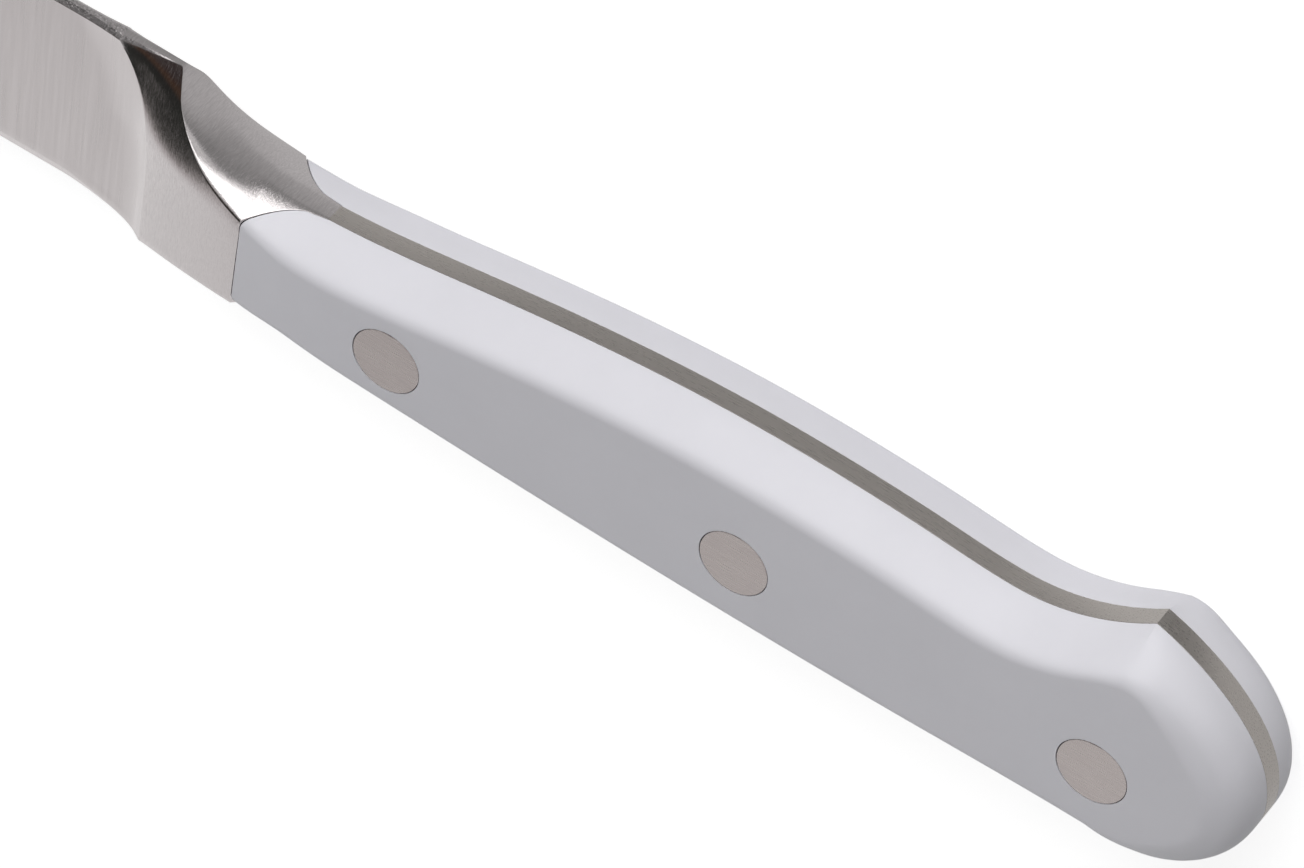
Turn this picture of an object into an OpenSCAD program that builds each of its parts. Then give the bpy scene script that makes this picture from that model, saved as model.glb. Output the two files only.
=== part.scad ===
// Forged steak knife, lying on its side as it rests on a table.
// The tip points along -X, the spine faces +Y and the lower scale's flat lies on Z = 0.
// One piece of steel holds the blade, the bolster and the full tang. Two handle scales
// seat on the tang and on the fillet behind the bolster, and three cutler's rivets hold them.
// Each rivet is a headed sleeve and a headed stud that is pressed into it.

/* [Blade] */
// Length from the tip to the heel
blade_length = 120.5; // [95:0.5:150]
// Height from the cutting edge to the spine
blade_height = 20.2; // [18.5:0.1:22]
// Thickness of the spine ahead of the bolster
blade_thickness = 1.3; // [1.1:0.05:1.6]
// Thickness of the spine at the tip
tip_thickness = 0.7; // [0.5:0.05:1]
// How far the tip lies below the spine
tip_drop = 4.5; // [2:0.1:7]
// Height of the ground bevel along the edge
edge_bevel = 0.7; // [0.4:0.05:1]
// Thickness of the blade just above that bevel
shoulder_thickness = 0.32; // [0.2:0.02:0.5]
// Width of the bevel along both corners of the spine
spine_bevel = 0.42; // [0.3:0.02:0.5]
// How far the heel reaches below the cutting edge
heel_drop = 0.85; // [0.5:0.05:1.6]
// Length over which the edge runs down to the heel
heel_run = 9; // [6:0.1:11]

/* [Bolster] */
// Height of the spine above the line through the rivets
spine_height = 13.2; // [12.5:0.1:14]
// Length of the bolster along its bottom, from the heel to the scales
bolster_length = 11.2; // [10.5:0.1:14]
// Length of the bolster along the spine
bolster_top_length = 15.6; // [15:0.1:19]
// Thickness of the steel where the bolster starts, at the spine
bolster_start_thickness = 1.7; // [1.5:0.05:2.1]
// Thickness of the steel where the bolster starts, at the heel
bolster_foot_thickness = 3.3; // [2.8:0.1:3.8]
// Length of the concave blend from the blade into the bolster, at the spine
flare_length = 5; // [3:0.1:6]
// Length of that blend at the heel
foot_flare_length = 9; // [6:0.1:10]
// Length of the thumb hollow, from its point to the scales
thumb_length = 9.6; // [8.6:0.1:10.6]
// Width of the flat ridge where the bolster starts
ridge_start_width = 0.8; // [0.6:0.05:1.1]
// Width of the flat ridge at the point of the thumb hollow
ridge_end_width = 0.44; // [0.3:0.02:0.7]
// Length of the fillet between the bolster and the tang
seat_length = 6; // [4.5:0.1:8]

/* [Handle] */
// Length of the scales, from the bolster to the butt
scale_length = 96.4; // [90:0.2:110]
// Thickness of the tang
tang_thickness = 1.9; // [1.5:0.1:2.4]
// Thickness of each scale
scale_thickness = 4.8; // [4.2:0.1:5.5]
// How much thinner each side is at the bolster
seam_thinning = 1; // [0.5:0.05:1.2]
// Length over which the sides thin down towards the bolster
thinning_length = 12.4; // [10:0.2:12.4]
// Height of the spine at the bolster's rear face
seam_top = 6.5; // [6.3:0.05:7]
// Distance of the neck, the low point of the spine, from the bolster
neck_x = 3.6; // [2.5:0.1:5]
// Height of the spine at the neck
neck_top = 6.24; // [6:0.02:7]
// Distance of the palm swell from the bolster
swell_x = 48.5; // [44:0.5:52]
// Height of the spine at the palm swell
swell_top = 10.7; // [9.5:0.1:12]
// Distance from the dip behind the palm swell to the beak
dip_setback = 12.2; // [10:0.1:14]
// Height of the spine at the dip
dip_top = 9.4; // [8.5:0.1:10.5]
// Distance from the beak, the upper corner of the butt, to the end of the handle
beak_setback = 12.7; // [11:0.1:14]
// Height of the beak
beak_top = 14.2; // [12.5:0.1:15]
// How far the sides round off below the beak
beak_rounding = 0.8; // [0:0.1:1.2]
// Depth of the belly at the bolster, below the line through the rivets
seam_belly = 6.1; // [5.8:0.05:6.8]
// Depth of the belly under the palm
palm_belly = 8.6; // [7.6:0.1:9.2]
// Height of the rearmost point of the butt
butt_height = 0.7; // [0:0.1:2]
// Height of the sloped edge faces
edge_slope = 2; // [1.6:0.1:2.6]
// Height of the sloped edge faces at the bolster
seam_edge_slope = 1.45; // [1.2:0.05:1.7]
// Width of the rounded face round the butt
butt_slope = 2.5; // [1.8:0.1:3.2]
// Length of the rounding between the sides and the sloped faces
edge_rounding = 0.9; // [0.6:0.1:1.4]

/* [Rivets] */
// Diameter of the rivet heads
head_diameter = 6.4; // [5.5:0.1:7]
// Depth of the rivet heads
head_depth = 2; // [1.2:0.1:2.6]
// Outer diameter of the sleeves
sleeve_diameter = 3.6; // [3.2:0.1:4.2]
// Diameter of the studs
stud_diameter = 2.4; // [1.8:0.1:2.6]
// Distance of the front rivet from the bolster
front_rivet_x = 15.7; // [15.6:0.1:20]
// Distance of the rear rivet from the end of the handle
rear_rivet_inset = 13.1; // [12:0.1:18]
// Gap at the bottom of each sleeve and at the tip of each stud
rivet_end_gap = 0.3; // [0.1:0.05:0.5]
// Clearance of a round fit, on the radius
fit_gap = 0.02; // [0.01:0.01:0.05]
// Glue gap between the scales and the fillet behind the bolster
seat_gap = 0.04; // [0.02:0.01:0.1]

/* [Hidden] */

half_tang = tang_thickness / 2;
half_handle = half_tang + scale_thickness;
start_half = bolster_start_thickness / 2;
foot_half = bolster_foot_thickness / 2;
edge_y = spine_height - blade_height;
heel_y = edge_y - heel_drop;
edge_half = 0.03;
tip_height = 0.5;

beak_x = scale_length - beak_setback;
dip_x = beak_x - dip_setback;
rear_rivet_x = scale_length - rear_rivet_inset;
rivet_pitch = (rear_rivet_x - front_rivet_x) / 2;
rivet_x = [for (i = [0 : 2]) front_rivet_x + i * rivet_pitch];

// Knots of the spine behind the bolster, each with its distance, height and slope. The climb
// to the palm swell and the fall behind it each take a knot on the way, at a share of their
// distance and of their height and at a multiple of their mean slope.
climb_knot = [0.37, 0.41, 1.6];
fall_knot = [0.59, 0.43, 1.4];
climb = (swell_top - neck_top) / (swell_x - neck_x);
fall = (dip_top - swell_top) / (dip_x - swell_x);
spine_knots = [
    [0, seam_top, -0.2],
    [neck_x, neck_top, 0],
    [mix(neck_x, swell_x, climb_knot[0]), mix(neck_top, swell_top, climb_knot[1]),
        climb_knot[2] * climb],
    [swell_x, swell_top, 0],
    [mix(swell_x, dip_x, fall_knot[0]), mix(swell_top, dip_top, fall_knot[1]),
        fall_knot[2] * fall],
    [dip_x, dip_top, 0],
    [beak_x, beak_top, 0.8]
];
belly_knots = [
    [0, -seam_belly, -0.06],
    [2 / 3 * scale_length, -palm_belly, 0],
    [beak_x, -palm_belly, -0.03]
];

// The sides of the butt turn about this point, and its outline is two curves that meet at
// the rearmost point
butt_centre = [beak_x + 0.6, butt_height];
upper_butt = [
    [beak_x, beak_top],
    [beak_x + 6.3, beak_top - 2],
    [scale_length, butt_height + 6.6],
    [scale_length, butt_height]
];
lower_butt = [
    [beak_x, -palm_belly],
    [beak_x + 6.8, -palm_belly - 1.3],
    [scale_length, butt_height - 5.1],
    [scale_length, butt_height]
];

// Lengths and heights that the forms below share
blade_run = blade_length + bolster_length - bolster_top_length;
tip_y = spine_height - tip_drop;
front_rise = bolster_top_length - bolster_length;
ridge_run = bolster_top_length - thumb_length;
seam_crease = seam_top - seam_edge_slope;

// Length behind the bolster over which the edges of the scales soften, and the rounding
// they start with
neck_run = 6;
seam_rounding = 0.8;
// Power that crowds the stations of the handle towards the bolster, and the steps down the
// sides of the bolster towards the crease
station_power = 1.15;
step_power = 1.4;
// Power of the curve in which the fillet narrows towards the tang
seat_power = 0.42;
// Height of the bolster's lower bevel, as a share of the upper one at the scales
belly_share = 0.8;
// Powers that bow the sloped faces, along the handle and round the butt
flat_bow = 1.25;
round_bow = 3.2;
// Reach of the rounding below the beak, and the inset at which half of it has come in
beak_reach = 3;
beak_start = 0.5;
// Half the width of the level strip along the middle of the thumb hollow, and the power
// that bows the hollow at its point
ridge_seat = 0.5;
thumb_bow = 3.4;
// The crease beside the hollow rises at an even rate for this share of its height and then
// ever faster, and the hollow's crown fades towards its point
crease_even = 0.35;
crease_power = 3.35;
crown_power = 1.1;
// Least height of the hollow's edge, so that no two points of a ring meet
least = 0.02;
// Powers of the curves of the blade: its spine, its edge and its taper
spine_power = 2.6;
edge_power = 3;
taper_power = 1.5;
// Powers of the blend from the blade into the bolster, at the spine and at the heel
flare_power = 2.4;
foot_flare_power = 3.2;
// How much of the run to the heel the edge takes for its drop
heel_rate = 1.2;
// Flat left under the heel on each side, and its height
heel_bevel = 0.1;
// Power of the curve that leans the front of the bolster towards the tip
front_power = 4.8;
// Height from which the sides of the bolster lean in, the height over which they take that
// form, and how strongly they curve
roll_start = 3.8;
roll_run = 10;
roll = 0.005;
// How fast the shoulders beside the ridge and the thumb hollow widen downwards
shoulder_slope = 0.8;

// Counts of facets along and across the lofted pieces
SCALE_STATIONS = 44;
BUTT_STEPS = 12;
SLOPE_STEPS = 4;
ROUND_STEPS = 4;
LEVELS = SLOPE_STEPS + ROUND_STEPS;
TOP_STEPS = 6;
SIDE_STEPS = 12;
BOTTOM_STEPS = 3;
BLADE_RINGS = 18;
HEEL_RINGS = 8;
BOLSTER_RINGS = 15;
$fn = 96;

// The origin lies below the middle of the whole knife
low_y = min(heel_y, min([for (p = scale_level(0, 0)) p[1]]));
high_y = max(spine_height, beak_top);
origin_x = (scale_length - bolster_length - blade_length) / 2;
origin_y = (low_y + high_y) / 2;

function mix(a, b, t) = a + (b - a) * t;
function clamp01(t) = max(0, min(1, t));
function smooth(t) = let (c = clamp01(t)) c * c * (3 - 2 * c);
function soft_min(a, b) = let (p = 8) pow(pow(a, -p) + pow(b, -p), -1 / p);

// Cubic curve between two knots that each hold a distance, a height and a slope
function hermite(a, b, x) =
    let (h = b[0] - a[0], t = (x - a[0]) / h)
    a[1] * (1 + t * t * (2 * t - 3)) + b[1] * t * t * (3 - 2 * t)
    + h * (a[2] * t * (1 - t) * (1 - t) + b[2] * t * t * (t - 1));
function along_knots(knots, x, i = 0) =
    x <= knots[i + 1][0] || i == len(knots) - 2
        ? hermite(knots[i], knots[i + 1], x)
        : along_knots(knots, x, i + 1);
function bezier(p, t) =
    let (s = 1 - t)
    s * s * s * p[0] + 3 * s * s * t * p[1] + 3 * s * t * t * p[2] + t * t * t * p[3];

// Outline of the handle and the form of its sides, by the distance behind the bolster
function spine_at(x) = along_knots(spine_knots, x);
function belly_at(x) = along_knots(belly_knots, x);
function half_thickness(x) =
    half_handle - seam_thinning * pow(1 - clamp01(x / thinning_length), 2);
function slope_at(x) = mix(seam_edge_slope, edge_slope, smooth(x / neck_run));
function rounding_at(x) = mix(seam_rounding, edge_rounding, smooth(x / neck_run));

// A sloped face by its depth below the outline at the side, and the power that bows it
function form_at(x) = [slope_at(x), flat_bow];
function butt_form(t) =
    let (turn = smooth(1.9 * t)) [mix(edge_slope, butt_slope, turn), mix(flat_bow, round_bow, turn)];
function drop(form, share) = form[0] * pow(share, form[1]);

// Height off the tang and inset from the outline at one level of a scale's edge
function edge_level(x, form, k) =
    let (
        rise = half_thickness(x) - half_tang,
        round = rounding_at(x),
        share = 1 - round / rise,
        start = [rise * share, drop(form, share)],
        corner = [rise, start[1] + form[0] * form[1] * round / rise],
        end = [rise, corner[1] + round]
    )
    k <= SLOPE_STEPS
        ? [start[0] * k / SLOPE_STEPS, drop(form, share * k / SLOPE_STEPS)]
        : let (t = (k - SLOPE_STEPS) / ROUND_STEPS)
          (1 - t) * (1 - t) * start + 2 * t * (1 - t) * corner + t * t * end;

// The fillet behind the bolster: where each level of a scale's edge begins
function seat_x(k) =
    let (share = edge_level(0, form_at(0), k)[0] / (half_thickness(0) - half_tang))
    seat_length * (1 - pow(share, seat_power));

// Points of one level of a scale, from the bolster along the spine, round the butt and
// back along the belly
function station_x(k, i, gap) =
    let (start = seat_x(k) + gap)
    start + (beak_x - start) * pow(i / SCALE_STATIONS, station_power);
function beak_inset(p, inset) =
    let (near = clamp01(1 - abs(p[0] - beak_x) / beak_reach))
    p[1] > butt_height ? beak_rounding * near * near * inset / (inset + beak_start) : 0;
function scale_point(p, form, k) =
    let (
        level = edge_level(p[0], form, k),
        away = butt_centre - p,
        inward = p[0] > beak_x ? away / norm(away) : [0, sign(away[1])],
        inset = level[1] + beak_inset(p, level[1])
    )
    [p[0] + inward[0] * inset, p[1] + inward[1] * inset, half_tang + level[0]];
function scale_level(k, gap) = concat(
    [for (i = [0 : SCALE_STATIONS]) let (x = station_x(k, i, gap))
        scale_point([x, spine_at(x)], form_at(x), k)],
    [for (i = [1 : BUTT_STEPS]) let (t = i / BUTT_STEPS)
        scale_point(bezier(upper_butt, t), butt_form(t), k)],
    [for (i = [BUTT_STEPS : -1 : 1]) let (t = i / (BUTT_STEPS + 1))
        scale_point(bezier(lower_butt, t), butt_form(t), k)],
    [for (i = [SCALE_STATIONS : -1 : 0]) let (x = station_x(k, i, gap))
        scale_point([x, belly_at(x)], form_at(x), k)]
);

// Form of the blade
function tip_share(x) = clamp01((-x - bolster_top_length) / blade_run);
function blade_spine(x) = mix(spine_height, tip_y + tip_height / 2, pow(tip_share(x), spine_power));
function heel_share(x) = clamp01((x + bolster_length + heel_run) / heel_run);
function blade_edge(x) =
    mix(edge_y, tip_y - tip_height / 2, pow(tip_share(x), edge_power))
    - heel_drop * smooth(heel_rate * heel_share(x));
function blade_half(x, y) =
    let (
        at_spine = mix(blade_thickness, tip_thickness, pow(tip_share(x), taper_power)) / 2,
        share = clamp01((y - blade_edge(x) - edge_bevel)
            / (blade_spine(x) - blade_edge(x) - edge_bevel))
    )
    mix(min(shoulder_thickness / 2, at_spine * 0.6), at_spine, share);

// The line on which the bolster starts, and the bolster's sides behind it
function front_up(y) = clamp01((y - heel_y) / (spine_height - spine_bevel - heel_y));
function front_x(y) = -bolster_length - front_rise * pow(front_up(y), front_power);
function front_half(y) =
    let (share = clamp01((y - roll_start) / (spine_height - spine_bevel - roll_start)))
    mix(foot_half, start_half, share);
function swell_out(share) = share * (3 - share) / 2;
function side_half(x, y) =
    let (
        front = front_x(y),
        low = clamp01((roll_start - y) / (roll_start - heel_y)),
        ahead = clamp01((x - front) / mix(flare_length, foot_flare_length, low) + 1),
        share = clamp01(1 - x / front),
        growth = mix(swell_out(share), smooth(share), smooth((y - roll_start) / roll_run)),
        flank = mix(front_half(y), half_thickness(0), growth)
            - roll * pow(max(0, y - roll_start), 2) * share
    )
    x < front
        ? mix(blade_half(x, y), front_half(y), pow(ahead, mix(flare_power, foot_flare_power, low)))
        : soft_min(flank, ridge_half(x) + shoulder_slope * max(0, spine_height - y));
function ridge_half(x) =
    mix(ridge_end_width, ridge_start_width, clamp01((-x - thumb_length) / ridge_run)) / 2;

// The thumb hollow: a crease on each side, and the height of the steel between them
function crease_y(x) =
    let (u = clamp01(-x / thumb_length))
    mix(seam_crease, spine_height - least, crease_even * u + (1 - crease_even) * pow(u, crease_power));
function crown(x) =
    let (u = clamp01(-x / thumb_length))
    max(least, seam_edge_slope * pow(1 - u, crown_power));

// One half of a ring round the steel: the top from the ridge to the crease, level as far
// as level, the side down to the lower corner, and the underside to the middle. The side
// follows side_half, or is upright at the distance wall where one is given.
function half_ring(
    x_top, x_low, top, ridge, level, crease, corner, low, bow = flat_bow, wall = 0
) = concat(
    [for (i = [0 : TOP_STEPS])
        let (
            n = mix(ridge, crease[0], i / TOP_STEPS),
            share = max(0, n - level) / max(least, crease[0] - level)
        )
        [x_top, top - drop([top - crease[1], bow], share), n]],
    [for (i = [1 : SIDE_STEPS])
        let (
            y = mix(crease[1], corner[1], pow(i / SIDE_STEPS, step_power)),
            x = mix(x_low, x_top, pow(front_up(y) / front_up(crease[1]), front_power))
        )
        [x, y, wall > 0 ? wall : i == SIDE_STEPS ? corner[0] : side_half(x, y)]],
    [for (i = [1 : BOTTOM_STEPS]) let (share = i / BOTTOM_STEPS)
        [x_low, mix(corner[1], low[1], share), mix(corner[0], low[0], share)]]
);
function mirrored(half) = concat(
    half,
    [for (i = [len(half) - 1 : -1 : 0]) [half[i][0], half[i][1], -half[i][2]]]
);

// Rings of the blade, from the tip to the line on which the bolster starts
function blade_ring(x, bend) =
    let (
        x_top = x - bend * front_rise,
        top = blade_spine(x_top),
        edge = blade_edge(x),
        bevel = min(spine_bevel, (top - edge) / 4, blade_half(x_top, top) * 0.85),
        half = side_half(x_top, top - bevel),
        heel = pow(heel_share(x), 1.2),
        corner_y = mix(min(edge + edge_bevel, mix(edge, top, 0.4)), heel_y + heel_bevel, heel),
        corner_half = side_half(x, corner_y)
    )
    half_ring(
        x_top, x, top,
        mix(max(0.1, half - bevel), ridge_start_width / 2, bend),
        0,
        [half, top - bevel],
        [corner_half, min(corner_y, edge + edge_bevel)],
        [mix(edge_half, corner_half - heel_bevel, sqrt(heel_share(x))), edge]
    );
function bolster_ring(share) =
    let (
        x_low = -bolster_length * (1 - share),
        x_top = -bolster_top_length * (1 - share),
        in_thumb = x_top > -thumb_length,
        near = 1 + x_top / thumb_length,
        run = clamp01((-x_top - thumb_length) / ridge_run),
        crease_up = in_thumb ? crease_y(x_top) : spine_height - mix(least, spine_bevel, run),
        top = in_thumb ? crease_up + crown(x_top) : spine_height,
        growth = swell_out(share),
        corner_y = mix(heel_y + heel_bevel, -seam_belly + seam_edge_slope * belly_share, growth)
    )
    half_ring(
        x_top, x_low, top,
        in_thumb ? mix(ridge_end_width / 2, ridge_seat, near) : ridge_half(x_top),
        in_thumb ? mix(0, half_tang, near) : 0,
        [side_half(x_top, crease_up), crease_up],
        [side_half(x_low, corner_y), corner_y],
        [mix(foot_half - heel_bevel, half_tang, growth), mix(heel_y, -seam_belly, growth)],
        in_thumb ? mix(thumb_bow, flat_bow, near * near) : flat_bow
    );
// Rings of the fillet: each is as wide as the scales leave it
function seat_ring(k) =
    let (
        x = seat_x(k),
        rise = edge_level(x, form_at(x), k)[0],
        share = rise / (half_thickness(x) - half_tang),
        inset = drop(form_at(x), share),
        half = half_tang + rise,
        crease = [half, spine_at(x) - inset],
        corner = [half, belly_at(x) + inset * mix(1, belly_share, pow(share, 4))],
        low = [half_tang * 0.9, belly_at(x)]
    )
    half_ring(x, x, spine_at(x), ridge_seat, half_tang, crease, corner, low, flat_bow, half);

// A closed body from a list of rings with equal counts of points. Each end is a fan of
// triangles about the middle of its ring.
module loft(rings) {
    count = len(rings[0]);
    last = len(rings) - 1;
    middles = [for (ring = [rings[0], rings[last]]) middle_of(ring)];
    points = concat([for (ring = rings) each ring], middles);
    sides = [for (i = [0 : last - 1]) for (j = [0 : count - 1])
        let (a = i * count + j, b = i * count + (j + 1) % count)
        each [[a, a + count, b], [b, a + count, b + count]]];
    first_fan = [for (j = [0 : count - 1]) [j, (j + 1) % count, (last + 1) * count]];
    last_fan = [for (j = [0 : count - 1])
        [last * count + (j + 1) % count, last * count + j, (last + 1) * count + 1]];
    polyhedron(points, concat(sides, first_fan, last_fan), convexity = 6);
}
function middle_of(ring) = [for (i = [0 : 2]) [for (p = ring) p[i]] * [for (p = ring) 1] / len(ring)];

// Moves a piece from the middle of the seam to its place in the knife
module placed() {
    translate([-origin_x, -origin_y, half_handle]) children();
}

module steel_body() {
    blade_rings = [for (i = [0 : BLADE_RINGS])
        blade_ring(mix(-bolster_length - blade_length, -bolster_length - heel_run,
            1 - pow(1 - i / BLADE_RINGS, 1.3)), 0)];
    heel_rings = [for (i = [1 : HEEL_RINGS]) let (share = i / HEEL_RINGS)
        blade_ring(-bolster_length - heel_run * (1 - share), share * share)];
    bolster_rings = [for (i = [1 : BOLSTER_RINGS]) bolster_ring(i / BOLSTER_RINGS)];
    seat_rings = [for (k = [LEVELS - 1 : -1 : 0]) seat_ring(k)];
    loft([for (half = concat(blade_rings, heel_rings, bolster_rings, seat_rings))
        mirrored(half)]);
}

module tang_plate() {
    outline = [for (p = scale_level(0, 0)) [p[0], p[1]]];
    translate([0, 0, -half_tang]) linear_extrude(tang_thickness) polygon(outline);
}

module forged_blade() {
    color([0.72, 0.70, 0.70]) placed() difference() {
        union() {
            steel_body();
            tang_plate();
        }
        for (x = rivet_x)
            translate([x, 0, -half_handle])
                cylinder(h = 2 * half_handle, d = sleeve_diameter + 2 * fit_gap);
    }
}

// A scale on the upper side of the tang, before its rivet holes are made
module scale_blank() {
    levels = [for (k = [0 : LEVELS]) scale_level(k, seat_gap)];
    count = len(levels[0]);
    half = count / 2;
    points = [for (level = levels) each level];
    walls = [for (k = [0 : LEVELS - 1]) for (j = [0 : count - 1])
        let (a = k * count + j, b = k * count + (j + 1) % count)
        each [[a, a + count, b], [b, a + count, b + count]]];
    inner = [for (j = [0 : half - 2])
        let (a = j, b = count - 1 - j)
        each [[a, a + 1, b], [b, a + 1, b - 1]]];
    outer = [for (j = [0 : half - 2])
        let (a = LEVELS * count + j, b = LEVELS * count + count - 1 - j)
        each [[a, b, a + 1], [b, b - 1, a + 1]]];
    polyhedron(points, concat(walls, inner, outer), convexity = 6);
}

module riveted_scale() {
    difference() {
        scale_blank();
        for (x = rivet_x) {
            translate([x, 0, 0])
                cylinder(h = half_handle + 1, d = sleeve_diameter + 2 * fit_gap);
            translate([x, 0, half_handle - head_depth])
                cylinder(h = head_depth + 1, d = head_diameter + 2 * fit_gap);
        }
    }
}

module upper_scale() {
    color([0.93, 0.93, 0.94]) placed() riveted_scale();
}

module lower_scale() {
    color([0.93, 0.93, 0.94]) placed() mirror([0, 0, 1]) riveted_scale();
}

// Upper half of a rivet: a head with a blind sleeve
module rivet_sleeve(i) {
    sleeve_length = 2 * half_handle - 2 * head_depth - rivet_end_gap;
    color([0.66, 0.63, 0.62]) placed() translate([rivet_x[i], 0, half_handle]) mirror([0, 0, 1])
        difference() {
            union() {
                cylinder(h = head_depth, d = head_diameter);
                cylinder(h = head_depth + sleeve_length, d = sleeve_diameter);
            }
            translate([0, 0, head_depth])
                cylinder(h = sleeve_length + 1, d = stud_diameter + 2 * fit_gap);
        }
}

// Lower half of a rivet: a head with a stud that fills the sleeve
module rivet_stud(i) {
    stud_length = 2 * half_handle - 2 * head_depth - rivet_end_gap;
    color([0.66, 0.63, 0.62]) placed() translate([rivet_x[i], 0, -half_handle])
        union() {
            cylinder(h = head_depth, d = head_diameter);
            cylinder(h = head_depth + stud_length, d = stud_diameter);
        }
}

forged_blade();
upper_scale();
lower_scale();
rivet_sleeve(0);  // front_rivet_sleeve
rivet_stud(0);  // front_rivet_stud
rivet_sleeve(1);  // middle_rivet_sleeve
rivet_stud(1);  // middle_rivet_stud
rivet_sleeve(2);  // rear_rivet_sleeve
rivet_stud(2);  // rear_rivet_stud
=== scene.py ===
import math

import bmesh
import bpy
from mathutils import Matrix, Vector


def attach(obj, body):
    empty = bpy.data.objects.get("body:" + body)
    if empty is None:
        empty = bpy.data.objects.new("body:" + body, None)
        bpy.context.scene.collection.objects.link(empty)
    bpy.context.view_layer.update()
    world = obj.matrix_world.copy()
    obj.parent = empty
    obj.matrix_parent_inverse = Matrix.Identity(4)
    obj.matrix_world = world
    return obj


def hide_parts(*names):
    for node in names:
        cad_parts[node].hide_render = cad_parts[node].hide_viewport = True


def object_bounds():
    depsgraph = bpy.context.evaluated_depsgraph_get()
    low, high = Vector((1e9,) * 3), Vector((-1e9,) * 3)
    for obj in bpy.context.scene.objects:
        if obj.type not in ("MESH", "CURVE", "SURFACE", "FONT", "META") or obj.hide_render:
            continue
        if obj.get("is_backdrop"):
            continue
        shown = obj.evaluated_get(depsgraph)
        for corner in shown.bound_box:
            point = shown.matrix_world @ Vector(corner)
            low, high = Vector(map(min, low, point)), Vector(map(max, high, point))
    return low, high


bl_info = {
    "name": "Forged steak knife",
    "version": (1, 0, 0),
    "blender": (4, 5, 0),
    "location": "3D View > Sidebar > Knife",
    "description": "Builds a forged steak knife with riveted handle scales around its packed frame",
    "category": "Object",
}

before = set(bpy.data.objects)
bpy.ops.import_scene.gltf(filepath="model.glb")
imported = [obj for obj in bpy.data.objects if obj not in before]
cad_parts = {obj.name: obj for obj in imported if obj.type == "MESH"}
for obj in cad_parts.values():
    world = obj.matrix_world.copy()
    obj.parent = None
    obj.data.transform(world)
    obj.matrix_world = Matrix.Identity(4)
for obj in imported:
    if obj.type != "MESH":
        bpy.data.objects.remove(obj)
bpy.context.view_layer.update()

MM = 0.001


# Settings

def length(name, about, mm):
    """A size in the scene's own unit, given here in millimetres."""
    return bpy.props.FloatProperty(
        name=name, description=about, default=mm * MM, unit="LENGTH", precision=5, min=0.0)


def colour(name, about, code):
    """A colour given as an sRGB hex value."""
    return bpy.props.FloatVectorProperty(
        name=name, description=about, default=linear(code), subtype="COLOR",
        size=4, min=0.0, max=1.0)


def linear(code):
    """Linear red, green, blue and alpha of an sRGB hex colour."""
    channels = [int(code[i:i + 2], 16) / 255 for i in (1, 3, 5)]
    return tuple(
        c / 12.92 if c <= 0.04045 else ((c + 0.055) / 1.055) ** 2.4 for c in channels) + (1.0,)


class KnifeSteelSettings(bpy.types.PropertyGroup):
    blade_length: length("Blade length", "From the tip to the heel", 120.5)
    blade_height: length("Blade height", "From the cutting edge to the spine", 20.2)
    blade_thickness: length("Spine thickness", "Ahead of the bolster", 1.3)
    tip_thickness: length("Tip thickness", "Of the spine at the tip", 0.7)
    tip_drop: length("Tip drop", "How far the tip lies below the spine", 4.5)
    edge_bevel: length("Edge bevel", "Height of the ground bevel along the edge", 0.7)
    shoulder_thickness: length("Shoulder", "Thickness just above the edge bevel", 0.32)
    spine_bevel: length("Spine bevel", "Width of the bevel along the spine", 0.42)
    heel_drop: length("Heel drop", "How far the heel reaches below the edge", 0.85)
    heel_run: length("Heel run", "Length over which the edge runs down to the heel", 9)
    spine_height: length("Spine height", "Above the line through the rivets", 13.2)
    bolster_length: length("Bolster length", "Along its bottom", 11.2)
    bolster_top_length: length("Bolster top length", "Along the spine", 15.6)
    bolster_start_thickness: length("Bolster start", "Thickness where it starts, at the spine", 1.7)
    bolster_foot_thickness: length("Bolster foot", "Thickness where it starts, at the heel", 3.3)
    flare_length: length("Flare", "Length of the blend from the blade into the bolster", 5)
    foot_flare_length: length("Foot flare", "Length of that blend at the heel", 9)
    thumb_length: length("Thumb hollow", "Length of the hollow for the thumb", 9.6)
    ridge_start_width: length("Ridge start", "Width of the ridge where the bolster starts", 0.8)
    ridge_end_width: length("Ridge end", "Width of the ridge at the thumb hollow", 0.44)
    seat_length: length("Seat", "Length of the fillet between bolster and tang", 6)
    tang_thickness: length("Tang thickness", "Of the full tang", 1.9)
    corner: length("Corner", "Softening of the steel's corners", 0.16)
    blade_colour: colour("Blade", "Ground stainless blade steel", "#C6C1C1")
    bolster_colour: colour("Bolster", "Brushed stainless bolster", "#BBB6B6")
    tang_colour: colour("Tang edge", "Ground edge of the tang", "#C2BCB7")


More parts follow.
